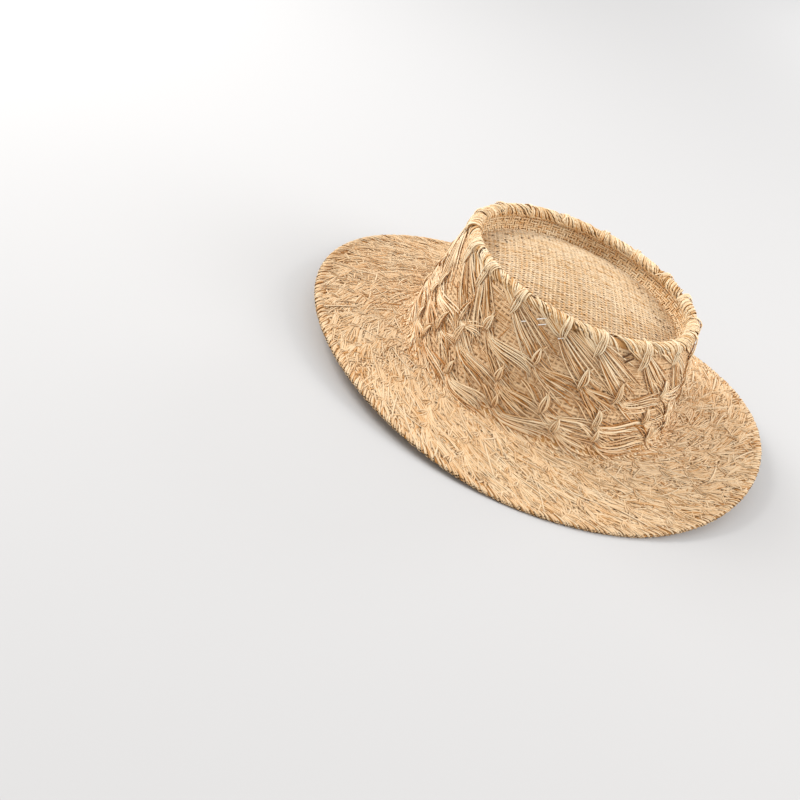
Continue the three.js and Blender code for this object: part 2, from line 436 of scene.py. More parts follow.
def bundles(strands, surface, knots, look):
    """Strands that leave one knot's foot and spread until they pass under and below the next one's."""
    random = strands.random
    count = look["strands"]
    following = np.roll(knots, -1, axis=0)
    following[-1, 0] += TURN
    here = np.repeat(knots, count, axis=0)
    there = np.repeat(following, count, axis=0)
    total = len(here)
    side = np.tile(np.linspace(-1, 1, count), len(knots)) + random.normal(0, 0.08, total)
    bow = np.repeat(random.uniform(0.6, 1.3, len(knots)), count) * look["bow"]
    short = random.uniform(-look["uneven"], 0.1 * look["uneven"], total)
    start_angle = here[:, 0] + random.uniform(0.2, 1.4, total) * look["waist"] / here[:, 3]
    start_run = here[:, 1] + look["foot"] * here[:, 2] + look["knot"] * side + random.normal(0, 0.3, total)
    end_angle = there[:, 0] + (look["past"] + look["lean"] * side + short) / there[:, 3]
    end_run = there[:, 1] + look["arrive"] * there[:, 2] + look["spread"] * side
    end_run += random.normal(0, 0.4, total)
    start_heading = look["tilt"] + side * bow + random.normal(0, 0.05, total)
    end_heading = look["tilt"] - side * bow * 0.5 + random.normal(0, 0.08, total)
    ends = (start_angle, end_angle), (start_run, end_run), (start_heading, end_heading)
    angles, runs, along = curve(surface, *ends, look["steps"])
    rise = look["rise"] * random.uniform(0.8, 1.2, (total, 1)) * (1 - 0.4 * side[:, None] ** 2)
    lay(strands, surface, angles, runs, look["base"] + rise * np.sin(np.pi * along ** 0.7) ** 0.6, look)


def loops(strands, surface, knots, look):
    """A raised loop over each knot: legs that part at its top, bow outward and close at its foot."""
    random = strands.random
    count = look["strands"]
    knots = np.repeat(knots, count, axis=0)
    total = len(knots)
    side = np.tile(np.linspace(-1, 1, count), total // count) + random.normal(0, 0.15, total)
    size = knots[:, 2]
    spread = look["spread"] / knots[:, 3]
    turn = np.repeat(random.normal(0.1, 0.28, total // count), count)
    size = size * np.repeat(random.uniform(0.75, 1.15, total // count), count)
    start_angle = knots[:, 0] + 0.12 * side * spread
    end_angle = knots[:, 0] + (look["open"] * side - 2.2 * np.sin(turn)) * spread
    start_run = knots[:, 1] - look["above"] * size + random.normal(0, 0.4, total)
    end_run = knots[:, 1] + look["height"] * size * random.uniform(0.85, 1.1, total)
    start_heading = math.pi / 2 - side * look["bow"] + turn
    end_heading = math.pi / 2 + side * look["bow"] + turn
    ends = (start_angle, end_angle), (start_run, end_run), (start_heading, end_heading)
    angles, runs, along = curve(surface, *ends, look["steps"])
    rise = look["rise"] * random.uniform(0.75, 1.2, (total, 1)) * size[:, None]
    lay(strands, surface, angles, runs, look["base"] + rise * np.sin(np.pi * along) ** 0.8, look)


def tails(strands, surface, knots, look):
    """Cut ends that stand up off the surface at the top of each knot's loop."""
    random = strands.random
    count = look["strands"]
    knots = np.repeat(knots, count, axis=0)
    total = len(knots)
    angle = knots[:, 0] + random.uniform(-1.2, 1.2, total) / knots[:, 3]
    run = knots[:, 1] - look["above"] * knots[:, 2]
    heading = random.uniform(*look["headings"], total)
    length = random.uniform(*look["length"], total)
    angles, runs = walk(surface, angle, run, heading, random.normal(0, 0.3, total), length, look["steps"])
    share = shares(look["steps"])
    rise = random.uniform(*look["rise"], (total, 1))
    lay(strands, surface, angles, runs, look["base"] + rise * share ** 1.5, look)


def scatter(strands, surface, first, last, look):
    """Loose single strands laid at random between two runs. Most follow look's slope, and a share of them
    crosses the others."""
    random = strands.random
    count = look["count"]
    angle = random.uniform(0, TURN, count)
    run = random.uniform(first, last, count)
    crossing = random.random(count) < look["crossing"]
    patch = np.sin(13 * angle + 0.21 * run + 2 * np.sin(5 * angle)) * np.cos(0.33 * run - 9 * angle)
    heading = look["slope"] + look.get("patch", 0) * patch + random.normal(0, look["turn_spread"], count)
    heading = np.where(crossing, heading + random.uniform(1.0, 2.2, count), heading)
    length = random.uniform(*look["length"], count) * np.where(crossing, 0.6, 1.0)
    angles, runs = walk(surface, angle, run, heading, random.normal(0, 0.25, count), length, look["steps"])
    share = shares(look["steps"])
    lift = look["base"] + random.uniform(0, look["rise"], (count, 1)) * np.sin(np.pi * share) ** 0.6
    lay(strands, surface, angles, runs, lift, look)


def shell(name, section, segments, material, slot):
    """A thin closed backing behind the strands, from a closed section of (radius, height)."""
    section = np.array(section, float)
    angle = np.arange(segments) * TURN / segments
    count = len(section)
    grid = place(np.repeat(angle, count), *np.tile(section.T, segments))
    index = np.arange(segments * count).reshape(segments, count)
    beside = np.roll(index, -1, axis=0)
    quads = np.stack([index, beside, np.roll(beside, -1, axis=1), np.roll(index, -1, axis=1)], axis=-1)
    mesh = bpy.data.meshes.new(name)
    mesh.from_pydata((grid * MM).tolist(), [], quads.reshape(-1, 4).tolist())
    mesh.polygons.foreach_set("use_smooth", np.ones(len(mesh.polygons), bool))
    mesh.update()
    add_piece(mesh, name, material, slot)


def thin(section, thickness):
    """A closed section around a line of (radius, height), that far thick to its left."""
    line = np.array(section, float)
    direction = unit(np.gradient(line, axis=0))
    other = line + np.stack([-direction[:, 1], direction[:, 0]], axis=1) * thickness
    return np.concatenate([line, other[::-1]])


# Streaks along a strand: scale of their noise across and along it, weight in the colour, and relief
STREAK_SCALE = (2.6, 0.09, 1.0)
STREAK_WEIGHT = 1.3
STREAK_BUMP = 0.35
STREAK_RELIEF = 0.0006
# Slow change of colour over the hat
PATCH_SCALE = 38.0
PATCH_WEIGHT = 0.5


def add_node(tree, kind, inputs, **settings):
    """A shader node whose inputs are values, or are linked where another node's output is given."""
    node = tree.nodes.new("ShaderNode" + kind)
    for name, value in settings.items():
        setattr(node, name, value)
    for name, value in inputs.items():
        if isinstance(value, bpy.types.NodeSocket):
            tree.links.new(value, node.inputs[name])
        else:
            node.inputs[name].default_value = value
    return node


def combine(tree, kind, operation, *values):
    return add_node(tree, kind, dict(enumerate(values)), operation=operation).outputs[0]


def straw_material(name, light, middle, dark, roughness, gloss=0.3):
    """Raffia: a tone for each strand with painted shade along its edges, fine streaks along it, and a slow
    change of colour over the hat.
    """
    material = bpy.data.materials.new(name)
    material.use_nodes = True
    tree = material.node_tree
    tree.nodes.clear()
    grain = add_node(tree, "Attribute", {}, attribute_name="grain").outputs["Vector"]
    tone = add_node(tree, "Attribute", {}, attribute_name="tone").outputs["Fac"]
    spot = add_node(tree, "TexCoord", {}).outputs["Object"]
    cut = combine(tree, "VectorMath", "MULTIPLY", grain, STREAK_SCALE)
    streaks = add_node(tree, "TexNoise", {"Vector": cut, "Scale": 1.0, "Detail": 3.0}).outputs["Fac"]
    patchy = {"Vector": spot, "Scale": PATCH_SCALE, "Detail": 2.0}
    patches = add_node(tree, "TexNoise", patchy).outputs["Fac"]

    blend = combine(tree, "Math", "MULTIPLY_ADD", streaks, STREAK_WEIGHT, tone)
    spread = combine(tree, "Math", "MULTIPLY_ADD", patches, PATCH_WEIGHT, blend)
    centred = combine(tree, "Math", "SUBTRACT", spread, (STREAK_WEIGHT + PATCH_WEIGHT) / 2)
    ramp = add_node(tree, "ValToRGB", {"Fac": centred})
    stops = ramp.color_ramp.elements
    stops[0].position = 0.08
    stops[0].color = (*dark, 1)
    stops[1].position = 0.85
    stops[1].color = (*light, 1)
    stops.new(0.42).color = (*middle, 1)

    shine = {"Value": streaks, "To Min": roughness - 0.08, "To Max": roughness + 0.12}
    relief = {"Height": streaks, "Strength": STREAK_BUMP, "Distance": STREAK_RELIEF}
    surface = {
        "Base Color": ramp.outputs["Color"],
        "Roughness": add_node(tree, "MapRange", shine).outputs["Result"],
        "Normal": add_node(tree, "Bump", relief).outputs["Normal"],
        "Specular IOR Level": gloss,
        "Specular Tint": (1.0, 0.95, 0.85, 1.0),
        "Sheen Weight": 0.06,
        "Sheen Roughness": 0.4,
        "Sheen Tint": (1.0, 0.82, 0.58, 1.0),
    }
    shader = add_node(tree, "BsdfPrincipled", surface)
    add_node(tree, "OutputMaterial", {"Surface": shader.outputs["BSDF"]})
    return material


# Straws: pale, middle and dark colours, roughness and, where it is shinier than most, gloss. The wall's and
# rim's pale stops are paler than the other straws' as painted light, for the highlights on the upright
# faces.
BRIM_STRAW = straw_material("brim_straw", (0.83, 0.635, 0.415), (0.76, 0.51, 0.28), (0.54, 0.26, 0.08), 0.6)
WALL_STRAW = straw_material(
    "wall_straw", (0.99, 0.82, 0.57), (0.85, 0.585, 0.32), (0.50, 0.20, 0.03), 0.42, gloss=0.7
)
RIM_STRAW = straw_material(
    "rim_straw", (0.98, 0.82, 0.58), (0.85, 0.61, 0.35), (0.58, 0.27, 0.06), 0.5, gloss=0.45
)
TIP_STRAW = straw_material("tip_straw", (0.86, 0.68, 0.47), (0.76, 0.53, 0.30), (0.54, 0.27, 0.08), 0.6)
WEAVE_STRAW = straw_material("weave_straw", (0.84, 0.60, 0.36), (0.73, 0.48, 0.26), (0.48, 0.24, 0.08), 0.6)
WHITE_STRAW = straw_material("white_straw", (0.95, 0.94, 0.90), (0.88, 0.85, 0.78), (0.70, 0.62, 0.50), 0.5)
# Near-black, painted as the shade seen in holes between strands
PAINTED_HOLE_SHADE = straw_material("painted_hole_shade", (0.14, 0.06, 0.02), (0.10, 0.04, 0.012), (0.07, 0.025, 0.01), 0.7)
# Dark brown for the crown's and tip's shells, painted as the shade seen in the gaps between strands
PAINTED_SHADE_BACKING = straw_material("painted_shade_backing", (0.64, 0.40, 0.19), (0.58, 0.33, 0.14), (0.50, 0.26, 0.09), 0.8)

WALL_WEAVE = {
    "group": 1, "swing": 0.13, "base": -0.4, "rough": 0.05, "thickness": 0.36, "ring": 1.3, "stake": 0.72,
    "tones": (0.5, 0.75), "fleck": 0.06, "wander": 0.35,
}
BRIM_WEAVE = {
    "group": 1, "swing": 0.3, "base": -0.7, "rough": 0.05, "thickness": 0.4, "ring": 0.98, "stake": 0.86,
    "tones": (0.5, 0.7), "fleck": 0.2, "wander": 0.25,
}
UNDER_WEAVE = {
    **BRIM_WEAVE, "swing": 0.22, "base": -0.2, "ring": 1.0, "stake": 0.92, "tones": (0.55, 0.75),
    "fleck": 0.18, "wander": 0.3,
}
COLLAR_WEAVE = {
    "group": 2, "swing": 0.2, "base": -0.3, "rough": 0.08, "thickness": 0.4, "ring": 1.15, "stake": 1.0,
    "tones": (0.4, 0.6), "fleck": 0.16, "wander": 0.3,
}

# Rows of knots: height of the loop's top over the floor, size, and shift and spread as shares of the pitch
WALL_ROWS = (
    {"height": 84.5, "shift": -0.12, "size": 1.15, "spread": 0.05},
    {"height": 58.0, "shift": -0.2, "size": 1.0, "spread": 0.13},
    {"height": 41.0, "shift": 0.33, "size": 0.95, "spread": 0.13},
    {"height": 26.5, "shift": 0.53, "size": 0.85, "spread": 0.13},
)
WALL_BUNDLE = {
    "strands": 15, "waist": 2.0, "foot": 10.0, "arrive": 15.0, "knot": 1.1, "tilt": 0.5, "bow": 0.36,
    "past": 3.5, "lean": -4.0, "uneven": 13.0, "spread": 5.2, "rise": 0.85, "base": 0.15,
    "width": (0.7, 1.3), "ends": (0.8, 0.5), "thickness": 0.42, "roll": 0.2, "tone": 0.64,
    "tone_spread": 0.26, "steps": 9,
}
WALL_GATHER = {
    "strands": 6, "reach": 20.0, "near": 1.0, "above": 3.0, "slant": 0.5, "waist": 3.0, "foot": 9.0,
    "leave": 0.35, "arrive": 0.9, "rise": 0.6, "base": 0.1, "width": (0.9, 1.4), "ends": (0.7, 0.4),
    "thickness": 0.32, "roll": 0.1, "tone": 0.55, "tone_spread": 0.16, "steps": 8,
}
WALL_FAN = {
    "strands": 8, "waist": 2.0, "foot": 12.0, "first": 0.35, "last": 0.7, "bend": 0.3, "length": 25.0,
    "rise": 0.9, "base": 0.1, "width": (0.8, 1.3), "ends": (0.5, 0.35), "thickness": 0.42, "roll": 0.2,
    "tone": 0.64, "tone_spread": 0.22, "sway": 0.12, "steps": 7,
}
RIM_FAN = {
    **WALL_FAN, "strands": 18, "waist": 2.2, "foot": 13.0, "first": 0.5, "last": 0.98, "bend": 0.35,
    "length": 31.0, "rise": 1.1, "base": 0.15, "width": (0.8, 1.4), "tone": 0.66, "tone_spread": 0.2,
    "sway": 0.1, "steps": 8,
}
WALL_LOOP = {
    "strands": 4, "above": 1.5, "height": 10.4, "spread": 1.8, "open": 0.7, "bow": 0.5, "base": 0.9,
    "rise": 2.0, "width": (0.9, 1.4), "ends": (0.6, 0.5), "thickness": 0.5, "roll": 0.3, "tone": 0.8,
    "tone_spread": 0.16, "steps": 9,
}
WALL_TAIL = {
    "strands": 2, "above": 0.0, "headings": (-2.3, -0.9), "length": (2.5, 5.0), "base": 1.0,
    "rise": (0.4, 1.6), "width": (0.8, 1.2), "ends": (0.9, 0.4), "thickness": 0.4, "roll": 0.3, "tone": 0.72,
    "tone_spread": 0.18, "steps": 4,
}
RIM_TAIL = {
    **WALL_TAIL, "above": 2.0, "headings": (-2.6, -0.6), "length": (3.0, 5.5), "base": 1.2,
    "rise": (0.6, 2.2), "width": (0.8, 1.3), "steps": 5,
}
WALL_LOOSE = {
    "count": 330, "crossing": 0.05, "slope": 0.45, "turn_spread": 0.26, "length": (9.0, 22.0),
    "rise": 0.4, "base": 0.0, "width": (0.6, 1.1), "ends": (0.5, 0.4), "thickness": 0.3, "roll": 0.1,
    "tone": 0.5, "tone_spread": 0.2, "steps": 6,
}
WALL_LINE = {
    "width": (0.8, 1.2), "ends": (0.9, 0.9), "thickness": 0.34, "roll": 0.1, "tone": 0.42,
    "tone_spread": 0.14, "steps": 24,
}
WALL_LINES = 17
WALL_LINE_PARTS = 6
RIM_GATHER = {
    "strands": 32, "reach": 36.0, "near": 0.5, "above": 11.0, "slant": -1.5, "waist": 3.0, "foot": 10.0,
    "leave": 0.45, "arrive": 0.8, "rise": 0.8, "base": 0.35, "width": (1.0, 1.7), "ends": (0.7, 0.45),
    "thickness": 0.36, "roll": 0.1, "tone": 0.64, "tone_spread": 0.18, "steps": 14,
}
RIM_LOOP = {
    **WALL_LOOP, "above": 3.5, "height": 14.0, "spread": 2.2, "open": 0.5, "bow": 0.38, "base": 0.8,
    "rise": 1.7, "ends": (0.5, 0.4), "tone": 0.85, "tone_spread": 0.14, "steps": 13,
}
BRIM_ROWS = (
    {"run": 5.0, "knots": 20, "size": 0.8}, {"run": 17.0, "knots": 22, "size": 0.9},
    {"run": 29.0, "knots": 24, "size": 1.0}, {"run": 41.0, "knots": 26, "size": 1.0},
    {"run": 52.0, "knots": 28, "size": 0.9},
)
BRIM_STRAND = {"width": (0.8, 1.5), "thickness": 0.17, "roll": 0.05, "tone": 0.62, "tone_spread": 0.17}
BRIM_GATHER = {
    **BRIM_STRAND, "strands": 11, "reach": 26.0, "near": 1.0, "above": 4.0, "slant": 0.0, "waist": 3.0,
    "foot": 5.0, "leave": 0.5, "arrive": 1.0, "rise": 0.12, "base": 0.08, "ends": (0.9, 0.7), "steps": 7,
}
BRIM_FAN = {
    **BRIM_STRAND, "strands": 12, "waist": 2.5, "foot": 5.0, "first": 0.15, "last": 1.2, "bend": 0.4,
    "length": 23.0, "rise": 0.15, "base": 0.05, "ends": (0.85, 0.8), "steps": 6,
}
BRIM_LOOP = {
    "strands": 3, "above": 0.5, "height": 6.0, "spread": 1.8, "open": 0.9, "bow": 0.4, "base": 0.3,
    "rise": 0.3, "width": (0.9, 1.6), "ends": (0.5, 0.4), "thickness": 0.3, "roll": 0.15, "tone": 0.71,
    "tone_spread": 0.15, "steps": 6,
}
BRIM_LOOSE = {
    **BRIM_STRAND, "count": 1850, "crossing": 0.4, "slope": 0.65, "turn_spread": 0.25, "patch": 0.6,
    "length": (6.0, 18.0), "rise": 0.12, "base": 0.12, "ends": (0.9, 0.85), "tone": 0.64,
    "tone_spread": 0.2, "steps": 5,
}
BRIM_COMB = {
    **BRIM_STRAND, "count": 5650, "crossing": 0.12, "slope": 0.6, "turn_spread": 0.14, "patch": 0.55,
    "length": (9.0, 20.0), "rise": 0.12, "base": -0.2, "width": (1.1, 1.9), "ends": (0.9, 0.9),
    "roll": 0.04, "steps": 5,
}
BRIM_LONG = {
    "count": 90, "crossing": 0.2, "slope": 0.6, "turn_spread": 0.35, "length": (16.0, 32.0), "rise": 0.2,
    "base": 0.28, "width": (1.1, 1.7), "ends": (0.8, 0.6), "thickness": 0.2, "roll": 0.05, "tone": 0.95,
    "tone_spread": 0.1, "steps": 6,
}
# Near-black specks of painted shade, where pinholes open through the brim's strands
BRIM_HOLE_SHADE = {
    "count": 420, "crossing": 0.1, "slope": 0.6, "turn_spread": 0.5, "length": (1.0, 3.4), "rise": 0.02,
    "base": 0.32, "width": (0.5, 0.85), "ends": (0.7, 0.7), "thickness": 0.1, "roll": 0.0, "tone": -0.4,
    "tone_spread": 0.15, "steps": 3,
}
TIP_HOLE_SHADE = {
    **BRIM_HOLE_SHADE, "count": 64, "slope": 0.0, "turn_spread": 1.5, "length": (1.4, 2.6), "base": 0.3,
    "width": (1.0, 1.5), "tone": 0.4, "tone_spread": 0.2, "steps": 3,
}
# White strands, and strands of painted hole shade, between the wall's bundles: angle in degrees, height and
# length
WHITE_STRANDS = ((-112.0, 76.2, 6.0), (-110.5, 73.6, 5.0), (-117.0, 70.0, 3.0), (-101.0, 72.0, 3.5))
WALL_HOLE_SHADES = ((-73.5, 75.5, 6.0), (-72.0, 72.5, 6.5))
SINGLE_HEADING = -0.6
FOOT_TICK = {
    "slope": 0.6, "turn_spread": 0.2, "bend": -0.3, "length": (3.4, 4.8), "base": -0.3, "rise": 0.4,
    "width": (1.5, 2.2), "ends": (0.8, 0.8), "thickness": 0.36, "roll": 0.1, "tone": 0.55,
    "tone_spread": 0.18, "steps": 4,
}
FOOT_TICK_ROWS = (-9.0, -6.6, -4.2, -1.8, 0.6, 3.0)
FOOT_TICKS = 150


# How far knots stray along the section, in millimetres, where they stray by a whole pitch around it
RUN_SPREAD = 16
BRIM_KNOT_SHIFT = 0.4
BRIM_KNOT_SPREAD = 0.12


def knot_row(random, count, shift, run, size, spread):
    """Knots around the hat as rows of (angle, run, size, radius), each moved a little at random."""
    angle = (np.arange(count) + shift + random.normal(0, spread, count)) * TURN / count
    runs = run + random.normal(0, RUN_SPREAD * spread, count)
    sizes = size * random.uniform(0.9, 1.12, count)
    return np.stack([angle, runs, sizes, OUTSIDE.radius(runs)], axis=1)


def wall_knots(number):
    row = WALL_ROWS[number]
    random = np.random.default_rng(100 + number)
    if row["height"] > WALL_TOP:
        turn = math.asin((row["height"] - RIM_SEAT) / RIM_HEIGHT * 2 - 1)
        run = RIM_RUN * (RIM_START - math.degrees(turn)) / (RIM_START - RIM_END)
    else:
        run = WALL_RUN + WALL_TOP - row["height"]
    return knot_row(random, TUFTS_PER_ROW, row["shift"], run, row["size"], row["spread"])


def brim_knots():
    random = np.random.default_rng(200)
    rows = []
    for number, row in enumerate(BRIM_ROWS):
        run = FOOT_RUN + row["run"]
        shift = BRIM_KNOT_SHIFT * number
        rows.append(knot_row(random, row["knots"], shift, run, row["size"], BRIM_KNOT_SPREAD))
    return np.concatenate(rows)


def foot_ticks(strands):
    """Short slanted strands in close rows where the wall turns into the brim."""
    random = strands.random
    steps = FOOT_TICK["steps"]
    bend = np.full(FOOT_TICKS, FOOT_TICK["bend"])
    arch = FOOT_TICK["base"] + FOOT_TICK["rise"] * np.sin(np.pi * shares(steps))
    for number, row in enumerate(FOOT_TICK_ROWS):
        column = np.arange(FOOT_TICKS) + 0.5 * number + random.uniform(-0.2, 0.2, FOOT_TICKS)
        run = FOOT_RUN + row + random.normal(0, 0.4, FOOT_TICKS)
        heading = random.normal(FOOT_TICK["slope"], FOOT_TICK["turn_spread"], FOOT_TICKS)
        length = random.uniform(*FOOT_TICK["length"], FOOT_TICKS)
        angles, runs = walk(OUTSIDE, column * TURN / FOOT_TICKS, run, heading, bend, length, steps)
        lift = arch + random.uniform(-0.1, 0.15, (FOOT_TICKS, 1))
        lay(strands, OUTSIDE, angles, runs, lift, FOOT_TICK)


def wall_lines(strands):
    """Close thin rings of straw on the upper wall, which show between the bundles there."""
    random = strands.random
    first = np.linspace(WALL_RUN + 1.0, WALL_RUN + 19.0, WALL_LINES)
    steps = WALL_LINE["steps"]
    for part in range(WALL_LINE_PARTS):
        start = random.uniform(0, TURN / WALL_LINE_PARTS, WALL_LINES) + part * TURN / WALL_LINE_PARTS
        length = OUTSIDE.radius(first) * TURN / WALL_LINE_PARTS * 1.05
        heading = random.normal(0, 0.006, WALL_LINES)
        angles, runs = walk(OUTSIDE, start, first, heading, -2 * heading, length, steps)
        lift = -0.25 + 0.12 * random.normal(0, 1, runs.shape)
        lay(strands, OUTSIDE, angles, runs, lift, WALL_LINE)


def make_singles(name, seed, rows, width, lift, material):
    """Single strands at given places on the wall, all of one width, lift and heading."""
    strands = Strands(seed, 0.1)
    angle, height, length = np.array(rows).T
    run = WALL_RUN + WALL_TOP - height
    level = np.zeros(len(angle))
    angles, runs = walk(OUTSIDE, np.radians(angle), run, level + SINGLE_HEADING, level, length, 5)
    spots, normals = OUTSIDE.at(angles, runs, np.full(runs.shape, lift))
    widths = np.full(runs.shape, width)
    strands.add(spots, normals, widths, np.full(runs.shape, 0.4), level + 0.8)
    strands.mesh(name, material, "wall_straw", "crown_wall")


def make_wall():
    base = Strands(11, 0.15)
    weave(base, OUTSIDE, WALL_RUN - 1, FOOT_RUN + 3, 32, 150, WALL_WEAVE)
    wall_lines(base)
    base.mesh("wall_weave", WEAVE_STRAW, "wall_straw", "crown_wall")
    strands = Strands(12, 0.52)
    rows = [wall_knots(number) for number in (1, 2, 3)]
    knots = np.concatenate(rows)
    scatter(strands, OUTSIDE, WALL_RUN + 12, FOOT_RUN - 12, WALL_LOOSE)
    fans(strands, OUTSIDE, wall_knots(0), RIM_FAN)
    fans(strands, OUTSIDE, knots, WALL_FAN)
    gathers(strands, OUTSIDE, knots, WALL_GATHER)
    for row in rows:
        bundles(strands, OUTSIDE, row, WALL_BUNDLE)
    loops(strands, OUTSIDE, knots, WALL_LOOP)
    tails(strands, OUTSIDE, knots, WALL_TAIL)
    foot_ticks(strands)
    strands.mesh("wall_tufts", WALL_STRAW, "wall_straw", "crown_wall")


def make_brim():
    base = Strands(21, 0.2)
    weave(base, OUTSIDE, FOOT_RUN + 1.5, OUTSIDE.length - 2, 27, 220, BRIM_WEAVE)
    base.mesh("brim_weave", BRIM_STRAW, "brim_straw", "brim")
    comb = Strands(23, 0.24)
    scatter(comb, OUTSIDE, FOOT_RUN - 3, OUTSIDE.length - 10, BRIM_COMB)
    comb.mesh("brim_comb", BRIM_STRAW, "brim_straw", "brim")
    strands = Strands(22, 0.26)
    knots = brim_knots()
    scatter(strands, OUTSIDE, FOOT_RUN + 3, OUTSIDE.length - 8, BRIM_LOOSE)
    fans(strands, OUTSIDE, knots, BRIM_FAN)
    gathers(strands, OUTSIDE, knots, BRIM_GATHER)
    loops(strands, OUTSIDE, knots, BRIM_LOOP)
    scatter(strands, OUTSIDE, FOOT_RUN + 3, OUTSIDE.length - 14, BRIM_LONG)
    scatter(strands, OUTSIDE, FOOT_RUN + 1, OUTSIDE.length - 4, BRIM_HOLE_SHADE)
    strands.mesh("brim_tufts", BRIM_STRAW, "brim_straw", "brim")


# Section of the turned edge: from the brim's top, around the outside and back underneath. The first
# number is the distance in from the brim's radius, the second the height over the brim's middle.
EDGE_TURN = (
    (7.5, 1.3), (4.5, 1.6), (2.4, 1.7), (0.9, 1.3), (0.1, 0.5), (0.1, -0.2), (0.8, -0.8), (2.4, -1.0),
    (5.5, -1.0),
)
EDGE_STRANDS = 720
EDGE_STEPS = 10


def make_edge():
    section = [(BRIM_RADIUS - inward, BRIM_MIDDLE + above) for inward, above in EDGE_TURN]
    core = []
    for inward, above in EDGE_TURN:
        core.append((BRIM_RADIUS - inward - 0.4, BRIM_MIDDLE + 0.15 + 0.6 * (above - 0.15)))
    shell("edge_backing", core, 300, BRIM_STRAW, "edge_straw")
    surface = Surface(section)
    strands = Strands(31, 0.3)
    random = strands.random
    angle = (np.arange(EDGE_STRANDS) + random.uniform(-0.4, 0.4, EDGE_STRANDS)) * TURN / EDGE_STRANDS
    start = random.uniform(0.2, 3.5, EDGE_STRANDS)
    length = (surface.length - 0.5 - start) * 1.28
    heading = np.full(EDGE_STRANDS, 0.85) + random.normal(0, 0.1, EDGE_STRANDS)
    angles, runs = walk(surface, angle, start, heading, np.zeros(EDGE_STRANDS), length, EDGE_STEPS)
    lift = np.full(runs.shape, -0.1) + random.uniform(-0.12, 0.2, (EDGE_STRANDS, 1))
    spots, normals = surface.at(angles, np.minimum(runs, surface.length - 0.7), lift)
    width = random.uniform(1.2, 2.0, (EDGE_STRANDS, 1)) * taper(EDGE_STEPS, 0.5, 0.6)
    tone = np.clip(random.normal(0.66, 0.2, EDGE_STRANDS), 0, 1)
    strands.add(spots, normals, width, np.full(width.shape, 0.34), tone)
    strands.mesh("edge_strands", BRIM_STRAW, "edge_straw", "brim_edge")


RIM_BUNDLES = 44
RIM_BUNDLE = 8
RIM_WRAP = {
    "arch": 0.8, "width": (1.1, 1.7), "ends": (0.6, 0.6), "thickness": 0.4, "roll": 0.1, "tone": 0.62,
    "tone_spread": 0.18, "steps": 13,
}


def rim_wraps(strands):
    """Slanted bundles, each arched across, side by side over the rim's section."""
    random = strands.random
    total = RIM_BUNDLES * RIM_BUNDLE
    angle = (np.arange(total) + random.uniform(-0.2, 0.2, total)) * TURN / total
    heading = np.repeat(random.normal(0.62, 0.13, RIM_BUNDLES), RIM_BUNDLE) + random.normal(0, 0.03, total)
    lift = np.repeat(random.uniform(-0.9, 0.0, RIM_BUNDLES), RIM_BUNDLE)[:, None]
    across = np.tile(np.linspace(-1, 1, RIM_BUNDLE), RIM_BUNDLES)[:, None]
    start = random.uniform(0.3, 1.5, total)
    end = RIM_RUN + random.uniform(-1.0, 3.0, total)
    steps = RIM_WRAP["steps"]
    length = (end - start) / np.sin(heading)
    angles, runs = walk(OUTSIDE, angle, start, heading, np.zeros(total), length, steps)
    lift = np.broadcast_to(lift + RIM_WRAP["arch"] * (1 - across ** 2), runs.shape)
    lay(strands, OUTSIDE, angles, runs, lift, RIM_WRAP)


def make_rim():
    strands = Strands(41, 0.46)
    rim_wraps(strands)
    knots = wall_knots(0)
    gathers(strands, OUTSIDE, knots, RIM_GATHER)
    loops(strands, OUTSIDE, knots, RIM_LOOP)
    tails(strands, OUTSIDE, knots, RIM_TAIL)
    strands.mesh("rim_strands", RIM_STRAW, "rim_straw", "crown_rim")


# Spacing of the tip's strands: pale rows along X lie close over wider ones along Y, painted darker as the
# shade in the gaps between the rows
TIP_ROW = 1.5
TIP_COLUMN = 3.0
# How far the tip's upper and lower weaves lie under the dome
TIP_TOP_DROP = 0.35
TIP_UNDER_DROP = 1.9
# Three even weights that smooth noise and keep its spread
SMOOTHING = np.full(3, 0.577)


def dome_height(radius):
    return TIP_EDGE + TIP_RISE * (1 - (radius / (TIP_RADIUS - 1.5)) ** 2)


def tip_strand(strands, offset, along, along_y, lift, width, tone, drop, side):
    x, y = (offset, along) if along_y else (along, offset)
    radius = np.hypot(x, y)
    spots = place(np.arctan2(y, x), radius, dome_height(radius) - drop + side * lift)[None]
    normals = np.broadcast_to([0.0, 0.0, float(side)], spots.shape)
    strands.add(spots, normals, width[None], np.full((1, len(along)), 0.36), tone[None])


def tip_lines(pitch, step, every=1):
    """The number of each line of the tip's weave, and those of its steps, counted from the middle."""
    count = int(TIP_RADIUS / pitch)
    for line in range(-count, count + 1, every):
        reach = int(math.sqrt(TIP_RADIUS ** 2 - (line * pitch) ** 2) / step)
        if reach >= 2:
            yield line, np.arange(-reach, reach + 1)


def tip_rows(strands, drop, side, every=1):
    """Close pale rows along X, which part here and there so that the strands below show as dashes."""
    random = strands.random
    step = TIP_COLUMN / 2
    for row, number in tip_lines(TIP_ROW, step, every):
        noise = random.normal(0, 1, (3, len(number)))
        slow = np.convolve(noise[1], SMOOTHING, "same")
        drift = row * TIP_ROW + 0.5 * np.sin(number * 0.09 + row * 0.13) + random.normal(0, 0.15)
        lift = 0.17 * np.sin(math.pi * (number / 2 + row)) + 0.08 * noise[0]
        width = every * TIP_ROW * np.clip(0.89 + 0.13 * slow - 0.3 * (slow < -1.5), 0.35, 1.15)
        tone = random.uniform(0.55, 0.85) + 0.13 * np.convolve(noise[2], SMOOTHING, "same")
        tip_strand(strands, drift, number * step, False, lift, width, tone, drop, side)


